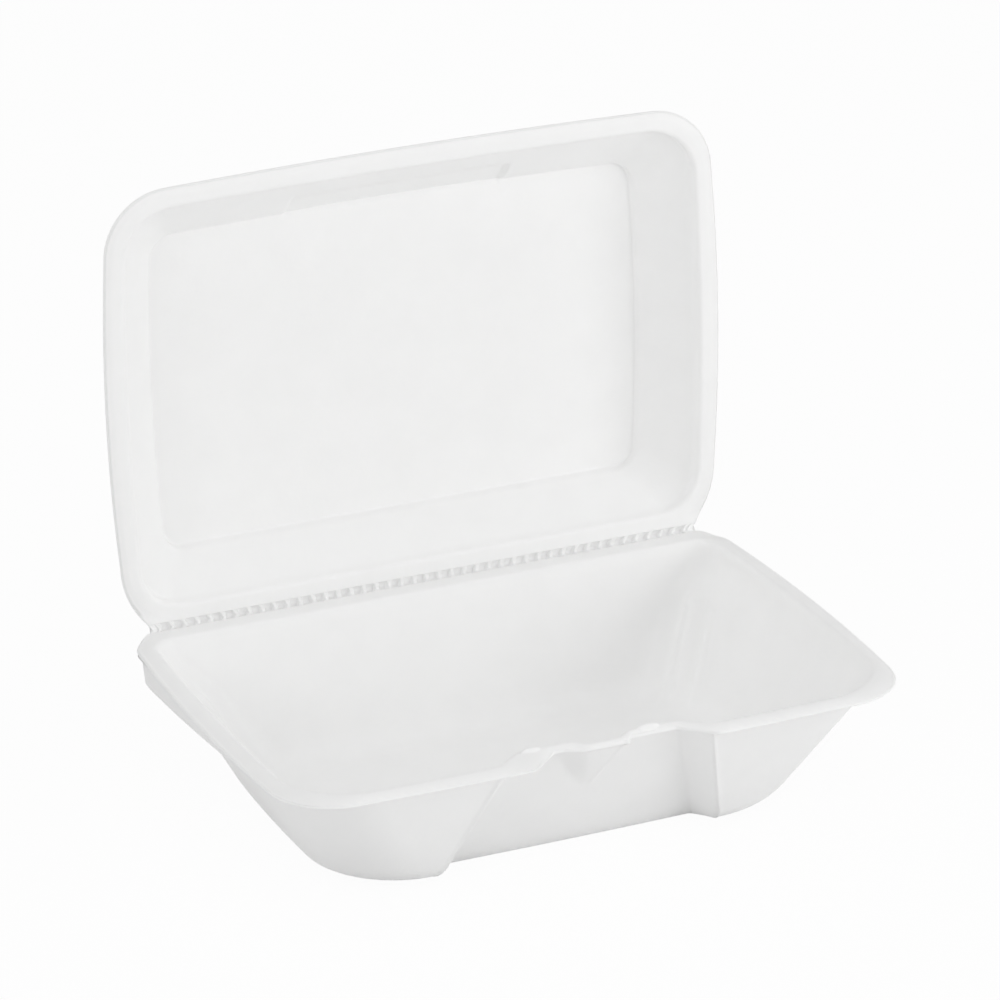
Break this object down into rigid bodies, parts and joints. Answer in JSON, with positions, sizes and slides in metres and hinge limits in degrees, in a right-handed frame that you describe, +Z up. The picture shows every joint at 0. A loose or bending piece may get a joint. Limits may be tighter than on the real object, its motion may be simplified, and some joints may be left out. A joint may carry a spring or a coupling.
{
  "type": "foam clamshell container",
  "caption": "Hinged foam takeaway container, one sheet formed into a deep drafted tray with a front bay and lock tongue and a shallower lid on a perforated living hinge, standing open.",
  "frame": {"origin": "on the ground, under the tray, below the middle of the rim outline", "axes": "+X along the hinge, -Y towards the front bay, +Z up"},
  "size_m": [0.236, 0.1894, 0.2167],
  "materials": {
    "foam": "matt white expanded foam with a smooth skin"
  },
  "bodies": {
    "base": {"base_tray": "foam", "living_hinge": "foam"},
    "lid": {"lid": "foam"}
  },
  "joints": [
    {"name": "lid_hinge", "type": "hinge", "parent": "base", "child": "lid", "pos_m": [0, 0.08235, 0.052], "axis": [1, 0, 0], "range_deg": [-90, 90], "deforming": ["living_hinge"]}
  ]
}
